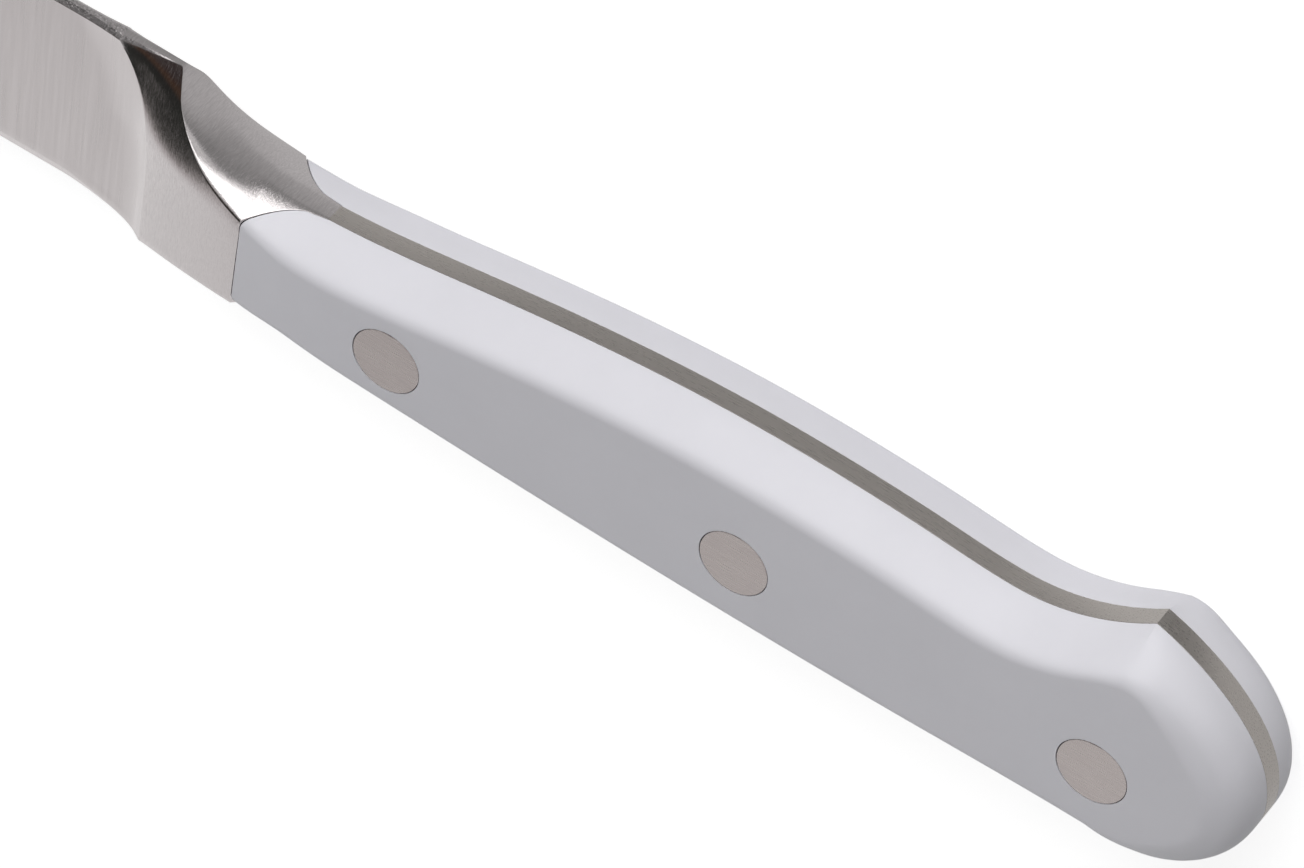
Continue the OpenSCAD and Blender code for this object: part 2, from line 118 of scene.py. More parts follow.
class KnifeScaleSettings(bpy.types.PropertyGroup):
    scale_length: length("Scale length", "From the bolster to the butt", 96.4)
    scale_thickness: length("Scale thickness", "Of each scale", 4.8)
    seam_thinning: length("Seam thinning", "How much thinner each side is at the bolster", 1)
    thinning_length: length("Thinning length", "Over which the sides thin down", 12.4)
    seam_top: length("Seam top", "Height of the spine at the bolster", 6.5)
    neck_x: length("Neck", "Distance of the neck from the bolster", 3.6)
    neck_top: length("Neck top", "Height of the spine at the neck", 6.24)
    swell_x: length("Swell", "Distance of the palm swell from the bolster", 48.5)
    swell_top: length("Swell top", "Height of the spine at the palm swell", 10.7)
    dip_setback: length("Dip", "From the dip behind the swell to the beak", 12.2)
    dip_top: length("Dip top", "Height of the spine at the dip", 9.4)
    beak_setback: length("Beak", "From the beak to the end of the handle", 12.7)
    beak_top: length("Beak top", "Height of the beak", 14.2)
    beak_rounding: length("Beak rounding", "How far the sides round off below the beak", 0.8)
    seam_belly: length("Seam belly", "Depth of the belly at the bolster", 6.1)
    palm_belly: length("Palm belly", "Depth of the belly under the palm", 8.6)
    butt_height: length("Butt height", "Height of the rearmost point", 0.7)
    edge_slope: length("Edge slope", "Height of the sloped edge faces", 2)
    seam_edge_slope: length("Seam edge slope", "The same at the bolster", 1.45)
    butt_slope: length("Butt slope", "Width of the rounded face round the butt", 2.5)
    edge_rounding: length("Edge rounding", "Between the sides and the sloped faces", 0.9)
    seam_gap: length("Seam gap", "Glue line between the scales and the bolster", 0.1)
    lip: length("Lip", "Softened edge of a scale along the tang", 0.05)
    scale_colour: colour("Scale", "White acetal", "#EAE9EF")


class KnifeRivetSettings(bpy.types.PropertyGroup):
    count: bpy.props.IntProperty(name="Rivets", description="Rivets in the handle", default=3, min=1)
    head_diameter: length("Head diameter", "Of the rivet heads", 6.4)
    head_depth: length("Head depth", "Of the rivet heads", 2)
    sleeve_diameter: length("Sleeve diameter", "Outside the sleeves", 3.6)
    stud_diameter: length("Stud diameter", "Of the studs", 2.4)
    front_rivet_x: length("Front rivet", "Its distance from the bolster", 15.7)
    rear_rivet_inset: length("Rear rivet", "Its distance from the end", 13.1)
    end_gap: length("End gap", "At the end of each sleeve and stud", 0.3)
    fit_gap: length("Fit gap", "Clearance of a round fit, on the radius", 0.02)
    chamfer: length("Chamfer", "Softened rim of each head", 0.04)
    groove: length("Groove", "Width of the dark ring round each head", 0.07)
    rivet_colour: colour("Rivet", "Ground stainless rivet steel", "#B7AFAD")


class KnifeStageSettings(bpy.types.PropertyGroup):
    floor_size: length("Floor size", "Width of the floor", 4000)
    floor_colour: colour("Floor", "Plain pale floor", "#E6E6E6")
    floor_white: bpy.props.FloatProperty(
        name="Floor white", description="White that the camera sees besides the floor's own shade",
        default=0.72, min=0.0)
    # Strength of the painted reflection: painted light and shade that the floor shows only to the steel
    floor_painted_reflection: bpy.props.FloatProperty(
        name="Floor painted reflection", description="Strength of what the steel mirrors of the floor",
        default=1.0, min=0.0)
    world_strength: bpy.props.FloatProperty(
        name="Surroundings", description="Strength of the soft surroundings", default=0.24, min=0.0)
    sun_strength: bpy.props.FloatProperty(
        name="Top light", description="Strength of the soft light from the spine's side",
        default=2.15, min=0.0)


SETTINGS = {
    "knife_steel": KnifeSteelSettings,
    "knife_scales": KnifeScaleSettings,
    "knife_rivets": KnifeRivetSettings,
    "knife_stage": KnifeStageSettings,
}


# Numbers of the form: lengths are in millimetres, and a power bends a curve

# Slopes of the spine and of the belly at the bolster and at the beak
SPINE_SLOPES = (-0.2, 0.8)
BELLY_SLOPES = (-0.06, -0.03)
# A point of the spine on each side of the palm swell: its shares of the way along and up, and
# its slope over that of a straight line
CLIMB = (0.37, 0.41, 1.6)
FALL = (0.59, 0.43, 1.4)
# Where the belly is deepest, as a share of the scales
PALM_SHARE = 2 / 3
# The butt's two curves: their step away from the beak and their reach before the rearmost point
UPPER_BUTT = (6.3, -2, 6.6)
LOWER_BUTT = (6.8, -1.3, -5.1)
BUTT_CENTRE = 0.6
# How soon the slope of the butt is reached on the way round it
BUTT_TURN = 1.9
# The scales' edges change from their form at the bolster to the usual one over this length
NECK_RUN = 6
SEAM_ROUNDING = 0.8
SEAT_POWER = 0.42
# Powers of the sloped faces: nearly flat along the handle, round at the butt
FLAT_BOW = 1.25
ROUND_BOW = 3.2
# Reach of the rounding below the beak, and the inset at which half of it has come in
BEAK_REACH = 3
BEAK_START = 0.5
RIDGE_SEAT = 0.5
THUMB_BOW = 3.4
# Height of the bolster's lower bevel, as a share of the upper one at the scales
BELLY_SHARE = 0.8
EDGE_HALF = 0.03
TIP_HEIGHT = 0.5
# How late the spine, the edge and the thickness run out to the tip
TIP_SPINE_POWER = 2.6
TIP_EDGE_POWER = 3
TIP_THIN_POWER = 1.5
# Most that the blade's shoulder may have of the spine's thickness
SHOULDER_SHARE = 0.6
HEEL_TURN = 1.2
# The line where the bolster starts: its curve, and the swell of its thickness
FRONT_POWER = 4.8
FRONT_BULGE = 1.6
# How late the blade flares into the bolster, higher up and at its foot
FLARE_POWER = 2.4
FOOT_FLARE_POWER = 4.2
# Height at which the bolster's sides start to lean in, and over which they do
ROLL_START = 3.8
ROLL_RUN = 10
ROLL = 0.007
ROLL_POWER = 0.6
# How fast the shoulders beside the ridge and the thumb hollow widen downwards
SHOULDER_SLOPE = 0.8
SHOULDER_BOW = 0.05
# The shoulders start wider by this much, and lose it over this length
SHOULDER_START = 0.35
SHOULDER_RUN = 2
# The crease beside the thumb hollow rises evenly by this share, and the rest comes late
CREASE_EVEN = 0.35
CREASE_POWER = 3.35
CROWN_POWER = 1.1
# The least height of a bevel or a crown, and the chamfer under the heel
LEAST = 0.02
FOOT_CHAMFER = 0.1


class Sizes:
    """Every length of the settings in millimetres, and the values that follow from them."""

    def __init__(self, scene):
        for group in ("knife_steel", "knife_scales", "knife_rivets"):
            settings = getattr(scene, group)
            for key, prop in settings.bl_rna.properties.items():
                if prop.type == "FLOAT" and not prop.is_array:
                    setattr(self, key, getattr(settings, key) / MM)
        self.half_tang = self.tang_thickness / 2
        self.half_handle = self.half_tang + self.scale_thickness
        self.start_half = self.bolster_start_thickness / 2
        self.foot_half = self.bolster_foot_thickness / 2
        self.edge_y = self.spine_height - self.blade_height
        self.heel_y = self.edge_y - self.heel_drop
        self.beak_x = self.scale_length - self.beak_setback
        self.dip_x = self.beak_x - self.dip_setback
        self.front_rise = self.bolster_top_length - self.bolster_length
        self.ridge_run = self.bolster_top_length - self.thumb_length
        self.blade_run = self.blade_length - self.front_rise
        self.tip_y = self.spine_height - self.tip_drop
        self.seam_crease = self.seam_top - self.seam_edge_slope
        rear = self.scale_length - self.rear_rivet_inset
        count = scene.knife_rivets.count
        self.rivet_pitch = (rear - self.front_rivet_x) / max(1, count - 1)
        self.rivet_x = [self.front_rivet_x + i * self.rivet_pitch for i in range(count)]
        neck, swell = (self.neck_x, self.neck_top, 0), (self.swell_x, self.swell_top, 0)
        dip = (self.dip_x, self.dip_top, 0)
        self.spine_knots = [
            (0, self.seam_top, SPINE_SLOPES[0]), neck, between(neck, swell, CLIMB), swell,
            between(swell, dip, FALL), dip, (self.beak_x, self.beak_top, SPINE_SLOPES[1])]
        self.belly_knots = [
            (0, -self.seam_belly, BELLY_SLOPES[0]),
            (PALM_SHARE * self.scale_length, -self.palm_belly, 0),
            (self.beak_x, -self.palm_belly, BELLY_SLOPES[1])]
        self.butt_centre = (self.beak_x + BUTT_CENTRE, self.butt_height)
        self.upper_butt = self.butt_curve(self.beak_top, UPPER_BUTT)
        self.lower_butt = self.butt_curve(-self.palm_belly, LOWER_BUTT)
        low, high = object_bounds()
        self.origin = Vector((
            high.x / MM - self.scale_length, low.y / MM - self.lowest(), high.z / MM / 2))

    def butt_curve(self, start, form):
        """Control points of one of the curves from the beak's line to the rearmost point."""
        away, step, reach = form
        return [(self.beak_x, start), (self.beak_x + away, start + step),
                (self.scale_length, self.butt_height + reach), (self.scale_length, self.butt_height)]

    def lowest(self):
        count = 200
        belly = [bezier(self.lower_butt, i / count)[1] for i in range(count)]
        return min(belly + [self.heel_y])


# Form of the knife, in millimetres from the middle of the seam behind the bolster

def mix(a, b, t):
    return a + (b - a) * t


def clamp01(t):
    return max(0.0, min(1.0, t))


def smooth(t):
    c = clamp01(t)
    return c * c * (3 - 2 * c)


def early(t):
    """Rises fast at first and arrives at 1 more slowly."""
    return t * (3 - t) / 2


def soft_min(a, b, power=5):
    """The smaller of two lengths, with a soft change from one to the other."""
    return (a ** -power + b ** -power) ** (-1 / power)


def between(start, end, shares):
    """A knot of a curve between two others, from its shares of the way and of their slope."""
    along, up, steep = shares
    slope = (end[1] - start[1]) / (end[0] - start[0])
    return (mix(start[0], end[0], along), mix(start[1], end[1], up), steep * slope)


def along_knots(knots, x):
    """Smooth curve through knots that each hold a distance, a height and a slope."""
    i = 0
    while i < len(knots) - 2 and x > knots[i + 1][0]:
        i += 1
    (x0, y0, s0), (x1, y1, s1) = knots[i], knots[i + 1]
    h = x1 - x0
    t = (x - x0) / h
    return (y0 * (1 + t * t * (2 * t - 3)) + y1 * t * t * (3 - 2 * t)
            + h * (s0 * t * (1 - t) ** 2 + s1 * t * t * (t - 1)))


def bezier(p, t):
    s = 1 - t
    weights = (s ** 3, 3 * s * s * t, 3 * s * t * t, t ** 3)
    return tuple(sum(w * q[i] for w, q in zip(weights, p)) for i in (0, 1))


def drop(form, share):
    """Depth of a sloped face at a share of its width; form holds its full depth and its bow."""
    return form[0] * share ** form[1]


class Form:
    """The surfaces of the knife as functions of place."""

    SLOPE_STEPS = 10
    ROUND_STEPS = 8

    def __init__(self, sizes):
        self.s = sizes
        self.levels = self.SLOPE_STEPS + self.ROUND_STEPS

    # Handle

    def spine_at(self, x):
        return along_knots(self.s.spine_knots, x)

    def belly_at(self, x):
        return along_knots(self.s.belly_knots, x)

    def half_thickness(self, x):
        s = self.s
        return s.half_handle - s.seam_thinning * (1 - clamp01(x / s.thinning_length)) ** 2

    def form_at(self, x):
        s = self.s
        return (mix(s.seam_edge_slope, s.edge_slope, smooth(x / NECK_RUN)), FLAT_BOW)

    def butt_form(self, t):
        s = self.s
        turn = smooth(BUTT_TURN * t)
        return (mix(s.edge_slope, s.butt_slope, turn), mix(FLAT_BOW, ROUND_BOW, turn))

    def edge_level(self, x, form, k):
        """Height off the tang and inset from the outline at one level of a scale's edge."""
        rise = self.half_thickness(x) - self.s.half_tang
        radius = mix(SEAM_ROUNDING, self.s.edge_rounding, smooth(x / NECK_RUN))
        share = 1 - radius / rise
        start = (rise * share, drop(form, share))
        if k <= self.SLOPE_STEPS:
            part = k / self.SLOPE_STEPS
            return (start[0] * part, drop(form, share * part))
        corner = (rise, start[1] + form[0] * form[1] * radius / rise)
        end = (rise, corner[1] + radius)
        t = (k - self.SLOPE_STEPS) / self.ROUND_STEPS
        return tuple(
            (1 - t) ** 2 * a + 2 * t * (1 - t) * b + t * t * c
            for a, b, c in zip(start, corner, end))

    def seat_x(self, k):
        """Where the fillet behind the bolster meets one level of a scale's edge."""
        rise = self.half_thickness(0) - self.s.half_tang
        share = self.edge_level(0, self.form_at(0), k)[0] / rise
        return self.s.seat_length * (1 - share ** SEAT_POWER)

    def scale_point(self, p, form, k):
        """A point of the outline, moved inwards and up to one level of a scale's edge."""
        away = (self.s.butt_centre[0] - p[0], self.s.butt_centre[1] - p[1])
        up, inset = self.edge_level(p[0], form, k)
        if away[1] < 0:
            near = clamp01(1 - abs(p[0] - self.s.beak_x) / BEAK_REACH)
            inset += self.s.beak_rounding * near * near * inset / (inset + BEAK_START)
        if p[0] > self.s.beak_x:
            size = math.hypot(*away)
            inward = (away[0] / size, away[1] / size)
        else:
            inward = (0, math.copysign(1, away[1]))
        return (p[0] + inward[0] * inset, p[1] + inward[1] * inset, self.s.half_tang + up)

    # Blade

    def tip_share(self, x):
        return clamp01((-x - self.s.bolster_top_length) / self.s.blade_run)

    def blade_spine(self, x):
        s = self.s
        return mix(s.spine_height, s.tip_y + TIP_HEIGHT / 2, self.tip_share(x) ** TIP_SPINE_POWER)

    def heel_share(self, x):
        return clamp01((x + self.s.bolster_length + self.s.heel_run) / self.s.heel_run)

    def blade_edge(self, x):
        s = self.s
        return (mix(s.edge_y, s.tip_y - TIP_HEIGHT / 2, self.tip_share(x) ** TIP_EDGE_POWER)
                - s.heel_drop * smooth(HEEL_TURN * self.heel_share(x)))

    def blade_half(self, x, y):
        s = self.s
        thinner = self.tip_share(x) ** TIP_THIN_POWER
        at_spine = mix(s.blade_thickness, s.tip_thickness, thinner) / 2
        low = self.blade_edge(x) + s.edge_bevel
        share = clamp01((y - low) / (self.blade_spine(x) - low))
        return mix(min(s.shoulder_thickness / 2, at_spine * SHOULDER_SHARE), at_spine, share)

    # Bolster

    def front_up(self, y):
        top = self.s.spine_height - self.s.spine_bevel
        return clamp01((y - self.s.heel_y) / (top - self.s.heel_y))

    def front_half(self, y):
        """Half the thickness on the line where the bolster starts."""
        s = self.s
        share = clamp01((y - ROLL_START) / (s.spine_height - s.spine_bevel - ROLL_START))
        return mix(s.foot_half, s.start_half,
                   share * share * (1 + FRONT_BULGE - FRONT_BULGE * share))

    def front_x(self, y):
        return -self.s.bolster_length - self.s.front_rise * self.front_up(y) ** FRONT_POWER

    def ridge_half(self, x):
        s = self.s
        return mix(s.ridge_end_width, s.ridge_start_width,
                   clamp01((-x - s.thumb_length) / s.ridge_run)) / 2

    def side_half(self, x, y):
        """Half the thickness of the blade, its flare or the bolster at a place on the side."""
        s = self.s
        front = self.front_x(y)
        if x < front:
            low = clamp01((ROLL_START - y) / (ROLL_START - s.heel_y))
            ahead = clamp01((x - front) / mix(s.flare_length, s.foot_flare_length, low) + 1)
            power = mix(FLARE_POWER, FOOT_FLARE_POWER, low)
            return mix(self.blade_half(x, y), self.front_half(y), ahead ** power)
        share = clamp01(1 - x / front)
        growth = mix(early(share), smooth(share), smooth((y - ROLL_START) / ROLL_RUN))
        flank = (mix(self.front_half(y), self.half_thickness(0), growth)
                 - ROLL * max(0, y - ROLL_START) ** 2 * share ** ROLL_POWER)
        depth = max(0.0, s.spine_height - y)
        wider = SHOULDER_START * (1 - clamp01((x - front) / SHOULDER_RUN)) ** 2
        shoulder = self.ridge_half(x) + wider + SHOULDER_SLOPE * depth + SHOULDER_BOW * depth ** 2
        return soft_min(flank, shoulder)

    def crease_y(self, x):
        u = clamp01(-x / self.s.thumb_length)
        rise = CREASE_EVEN * u + (1 - CREASE_EVEN) * u ** CREASE_POWER
        return mix(self.s.seam_crease, self.s.spine_height - LEAST, rise)

    def crown(self, x):
        u = clamp01(-x / self.s.thumb_length)
        return max(LEAST, self.s.seam_edge_slope * (1 - u) ** CROWN_POWER)


# Rings of the forging. A ring is a closed row of points round the steel, each with the
# part of the surface that it starts: 0 top, 1 side, 2 underside.

TOP_STEPS = 14
SIDE_STEPS = 36
BOTTOM_STEPS = 3
# Most that a softened corner takes of the faces beside it
CORNER_SHARE = 0.7
# The side's first step is this many corner radii or this share of it, and later steps grow
FIRST_RADII = 1.5
FIRST_SHARE = 0.2
STEP_POWER = 1.4
# Softening of the blade's bevels and of the tang's edges, and the tang's share underneath
FINE_CORNER = 0.03
TANG_CORNER = 0.04
TANG_FOOT = 0.9
# Limits near the tip: of the spine's bevel and ridge, and of the corner above the cutting edge
BEVEL_OF_HEIGHT = 0.25
BEVEL_OF_WIDTH = 0.85
LEAST_RIDGE = 0.1
CORNER_OF_HEIGHT = 0.4
HEEL_POWER = 1.2


def soften(before, at, after, radius):
    """Replaces a corner with four points on a small curve."""
    a, c, b = Vector(before), Vector(at), Vector(after)
    to_a, to_b = a - c, b - c
    start = c + to_a * min(CORNER_SHARE, radius / max(1e-6, to_a.length))
    end = c + to_b * min(CORNER_SHARE, radius / max(1e-6, to_b.length))
    return [(1 - t) ** 2 * start + 2 * t * (1 - t) * c + t * t * end for t in (0, 1 / 3, 2 / 3, 1)]


def ring(form, x_top, x_low, top, ridge, flat, crease, corner, low, radius, wall=None,
         bow=FLAT_BOW, power=FRONT_POWER):
    """A closed ring from half a section: the top from the ridge to the crease, the side down
    to the lower corner, and the underside. crease, corner and low are a width and a height."""
    upper = []
    for i in range(TOP_STEPS + 1):
        n = mix(ridge, crease[0], i / TOP_STEPS)
        share = max(0.0, n - flat) / max(0.001, crease[0] - flat)
        upper.append((x_top, top - drop((top - crease[1], bow), share), n))
    side = []
    first = min(FIRST_SHARE, FIRST_RADII * radius / max(LEAST / 2, crease[1] - corner[1]))
    for i in range(1, SIDE_STEPS + 1):
        share = mix(first, 1, ((i - 1) / (SIDE_STEPS - 1)) ** STEP_POWER)
        y = mix(crease[1], corner[1], share)
        x = mix(x_low, x_top, (form.front_up(y) / form.front_up(crease[1])) ** power)
        half = wall if wall is not None else form.side_half(x, y)
        side.append((x, y, corner[0] if i == SIDE_STEPS else half))
    under = []
    for i in range(1, BOTTOM_STEPS + 1):
        share = i / BOTTOM_STEPS
        under.append((x_low, mix(corner[1], low[1], share), mix(corner[0], low[0], share)))
    half = upper[:-1] + soften(upper[-2], upper[-1], side[0], radius)
    parts = [0] * (len(half) - 2) + [1] * 2
    half += side[:-1] + soften(side[-2], side[-1], under[0], radius)
    parts += [1] * (len(half) - len(parts) - 1) + [2]
    half += under
    parts += [2] * (len(half) - len(parts))
    points = [tuple(p) for p in half]
    mirrored = [(x, y, -n) for x, y, n in reversed(points)]
    return points + mirrored, parts + parts[-2::-1] + [0]


def blade_ring(form, x, bend):
    """A ring across the blade, which bends from upright to the line where the bolster starts."""
    s = form.s
    x_top = x - bend * s.front_rise
    top = form.blade_spine(x_top)
    edge = form.blade_edge(x)
    bevel = min(s.spine_bevel, (top - edge) * BEVEL_OF_HEIGHT,
                form.blade_half(x_top, top) * BEVEL_OF_WIDTH)
    half = form.side_half(x_top, top - bevel)
    corner_y = mix(min(edge + s.edge_bevel, mix(edge, top, CORNER_OF_HEIGHT)),
                   s.heel_y + FOOT_CHAMFER, form.heel_share(x) ** HEEL_POWER)
    ridge = mix(max(LEAST_RIDGE, half - bevel), s.ridge_start_width / 2, bend)
    corner = (form.side_half(x, corner_y), min(corner_y, edge + s.edge_bevel))
    low = (mix(EDGE_HALF, corner[0] - FOOT_CHAMFER, math.sqrt(form.heel_share(x))), edge)
    return ring(form, x_top, x, top, ridge, 0, (half, top - bevel), corner, low,
                mix(FINE_CORNER, s.corner, bend))


def bolster_ring(form, share):
    """A ring across the bolster, at a share of the way from its front line to the seam."""
    s = form.s
    x_low = -s.bolster_length * (1 - share)
    x_top = -s.bolster_top_length * (1 - share)
    growth = early(share)
    corner_y = mix(s.heel_y + FOOT_CHAMFER, -s.seam_belly + s.seam_edge_slope * BELLY_SHARE, growth)
    if x_top > -s.thumb_length:
        near = 1 + x_top / s.thumb_length
        crease_up = form.crease_y(x_top)
        top = crease_up + form.crown(x_top)
        ridge, flat = mix(s.ridge_end_width / 2, RIDGE_SEAT, near), mix(0, s.half_tang, near)
        bow = mix(THUMB_BOW, FLAT_BOW, near * near)
    else:
        bow = FLAT_BOW
        run = clamp01((-x_top - s.thumb_length) / s.ridge_run)
        crease_up = s.spine_height - mix(LEAST, s.spine_bevel, run)
        top, ridge, flat = s.spine_height, form.ridge_half(x_top), 0
    crease = (form.side_half(x_top, crease_up), crease_up)
    corner = (form.side_half(x_low, corner_y), corner_y)
    low = (mix(s.foot_half - FOOT_CHAMFER, s.half_tang, growth),
           mix(s.heel_y, -s.seam_belly, growth))
    return ring(form, x_top, x_low, top, ridge, flat, crease, corner, low, s.corner, bow=bow)


def seat_ring(form, k):
    """A ring of the fillet that the scales sit on, at one level of a scale's edge."""
    s = form.s
    x = form.seat_x(k)
    up = form.edge_level(x, form.form_at(x), k)[0]
    half = s.half_tang + up
    share = up / (form.half_thickness(x) - s.half_tang)
    inset = drop(form.form_at(x), share)
    top, low = form.spine_at(x), form.belly_at(x)
    return ring(form, x, x, top, RIDGE_SEAT, s.half_tang, (half, top - inset),
                (half, low + inset * mix(1, BELLY_SHARE, share ** 4)),
                (s.half_tang * TANG_FOOT, low), mix(TANG_CORNER, s.corner, share), wall=half)


def tang_ring(form, upper, lower):
    """A ring of the tang between a point of its spine and one of its belly."""
    s = form.s
    return ring(form, upper[0], lower[0], upper[1], RIDGE_SEAT, s.half_tang,
                (s.half_tang, upper[1]), (s.half_tang, lower[1]),
                (s.half_tang * TANG_FOOT, lower[1]), TANG_CORNER, wall=s.half_tang, power=1)


def steps(count, power=1, late=False):
    """Shares above 0 and up to 1. A power over 1 brings them closer together at the start,
    or at the end where late is true."""
    shares = [i / count for i in range(1, count + 1)]
    return [1 - (1 - share) ** power if late else share ** power for share in shares]


def forging_rings(form):
    """All rings from the tip to the butt, each with its zone: 0 blade, 1 bolster, 2 tang."""
    s = form.s
    tip, heel = -s.bolster_length - s.blade_length, -s.bolster_length - s.heel_run
    rings = [(blade_ring(form, mix(tip, heel, share), 0), 0) for share in [0] + steps(90, 1.3, True)]
    for share in steps(44):
        x = -s.bolster_length - s.heel_run * (1 - share)
        rings.append((blade_ring(form, x, share * share), 0))
    rings += [(bolster_ring(form, share), 1) for share in steps(76)]
    rings += [(seat_ring(form, k), 1) for k in range(form.levels - 1, -1, -1)]
    for share in steps(110, 1.1):
        x = mix(s.seat_length, s.beak_x, share)
        rings.append((tang_ring(form, (x, form.spine_at(x)), (x, form.belly_at(x))), 2))
    for t in steps(48, 1.2, True):
        rings.append((tang_ring(form, bezier(s.upper_butt, t), bezier(s.lower_butt, t)), 2))
    return rings


# Mesh helpers

# Points nearer than this, in metres, become one
MERGE = 1e-6


def place(points, sizes):
    """Points in millimetres from the seam, moved to their place in the frame, in metres."""
    return [(Vector(p) + sizes.origin) * MM for p in points]


def new_object(name, bm):
    mesh = bpy.data.meshes.new(name)
    bm.to_mesh(mesh)
    bm.free()
    obj = bpy.data.objects.new(name, mesh)
    bpy.context.scene.collection.objects.link(obj)
    return obj


def skin(bm, rows):
    """Joins closed rows of vertices by faces. A row of one vertex is a pole."""
    count = max(len(row) for row in rows)
    for low, high in zip(rows, rows[1:]):
        for i in range(count):
            j = (i + 1) % count
            corners = (low[i % len(low)], low[j % len(low)], high[j % len(high)], high[i % len(high)])
            corners = list(dict.fromkeys(corners))
            if len(corners) > 2:
                bm.faces.new(corners)


def finish_shading(obj, degrees):
    obj.data.polygons.foreach_set("use_smooth", [True] * len(obj.data.polygons))
    obj.data.set_sharp_from_angle(angle=math.radians(degrees))
    obj.data.update()


def lathe(name, profile, x, sizes, segments=128):
    """A closed turned body from a profile of (radius, height) pairs about a rivet's axis."""
    bm = bmesh.new()
    rows = []
    for radius, height in profile:
        if radius == 0:
            rows.append([bm.verts.new(place([(x, 0, height)], sizes)[0])])
            continue
        turn = [2 * math.pi * i / segments for i in range(segments)]
        row = [(x + radius * math.cos(a), radius * math.sin(a), height) for a in turn]
        rows.append([bm.verts.new(p) for p in place(row, sizes)])
    skin(bm, rows)
    bmesh.ops.recalc_face_normals(bm, faces=bm.faces)
    return new_object(name, bm)


def apply_modifiers(obj):
    """Makes what its modifiers give the object's own mesh."""
    graph = bpy.context.evaluated_depsgraph_get()
    mesh = bpy.data.meshes.new_from_object(obj.evaluated_get(graph))
    obj.modifiers.clear()
    old, obj.data = obj.data, mesh
    bpy.data.meshes.remove(old)


def cut(obj, cutters):
    """Takes the cutters out of obj and removes them."""
    for cutter in cutters:
        modifier = obj.modifiers.new("Cut", "BOOLEAN")
        modifier.object = cutter
        modifier.operation = "DIFFERENCE"
        modifier.solver = "EXACT"
    apply_modifiers(obj)
    for cutter in cutters:
        bpy.data.objects.remove(cutter)


# Materials

def add(tree, kind, inputs=None, stops=(), **settings):
    """Adds a node with its settings. inputs maps a socket's name or number to a value or to
    the socket that feeds it. stops are the places and the shades of a colour ramp."""
    node = tree.nodes.new(kind)
    for key, value in settings.items():
        setattr(node, key, value)
    for key, value in (inputs or {}).items():
        if isinstance(value, bpy.types.NodeSocket):
            tree.links.new(value, node.inputs[key])
        else:
            node.inputs[key].default_value = value
    elements = node.color_ramp.elements if stops else ()
    while len(elements) < len(stops):
        elements.new(0.5)
    for element, (along, shade) in zip(elements, stops):
        element.position = along
        element.color = (shade if isinstance(shade, tuple) else (shade,) * 3) + (1,)
    return node


def empty_tree(owner):
    """Turns on the nodes of a material or a world and takes out those that it starts with."""
    owner.use_nodes = True
    owner.node_tree.nodes.clear()
    return owner.node_tree


def new_material(name):
    """A material with its tree, its shader and the place on the piece, in metres."""
    material = bpy.data.materials.new(name)
    tree = empty_tree(material)
    shader = add(tree, "ShaderNodeBsdfPrincipled")
    add(tree, "ShaderNodeOutputMaterial", {"Surface": shader.outputs[0]})
    coords = add(tree, "ShaderNodeTexCoord").outputs["Object"]
    return material, tree, shader, coords


def scratches(tree, coords, scale, detail=3.0, turn=0.0):
    """Noise drawn out along the axis whose scale is low. Scales are lines per metre."""
    mapped = add(tree, "ShaderNodeMapping", {
        "Vector": coords, "Rotation": (0, 0, turn), "Scale": scale}).outputs[0]
    return add(tree, "ShaderNodeTexNoise", {
        "Vector": mapped, "Scale": 1.0, "Detail": detail, "Roughness": 0.6}).outputs["Fac"]


def ranged(tree, *rows):
    """The product of several values, each moved from one range to another. A row holds a
    value, the limits between which it changes, and what it becomes at them."""
    total = None
    for value, low, high, at_low, at_high in rows:
        factor = add(tree, "ShaderNodeMapRange", {
            "Value": value, "From Min": low, "From Max": high,
            "To Min": at_low, "To Max": at_high}).outputs[0]
        if total is None:
            total = factor
        else:
            total = add(tree, "ShaderNodeMath", {0: total, 1: factor}, operation="MULTIPLY").outputs[0]
    return total


def dress(tree, shader, colour_value, tint, roughness, height, depth, strength=1.0):
    """Gives a shader its colour, made paler or darker by the tint, its roughness and its
    relief, whose depth is in millimetres."""
    tinted = add(tree, "ShaderNodeVectorMath", {
        0: tuple(colour_value)[:3], "Scale": tint}, operation="SCALE").outputs[0]
    relief = add(tree, "ShaderNodeBump", {
        "Strength": strength, "Distance": depth * MM, "Height": height}).outputs[0]
    for key, socket in (("Base Color", tinted), ("Roughness", roughness), ("Normal", relief)):
        tree.links.new(socket, shader.inputs[key])


def steel(name, colour_value, roughness, grain, fine, bump, tone=0.05, turn=0.0):
    """Ground stainless steel: bright, with fine lines left by the belt. grain and fine are
    the lines per metre along each axis, drawn coarser than the real grit so that they show.
    bump is their depth in millimetres, and tone what they change of the colour."""
    material, tree, shader, coords = new_material(name)
    lines = scratches(tree, coords, grain, turn=turn)
    hair = scratches(tree, coords, fine, detail=2.0, turn=turn)
    both = add(tree, "ShaderNodeMath", {0: lines, 1: hair}, operation="ADD").outputs[0]
    # Two noises together mostly stay between these
    low, high = 0.7, 1.3
    dress(tree, shader, colour_value, ranged(tree, (both, low, high, 1 - tone, 1 + tone)),
          ranged(tree, (both, low, high, roughness - 0.05, roughness + 0.06)), both, bump)
    shader.inputs["Metallic"].default_value = 1.0
    return material


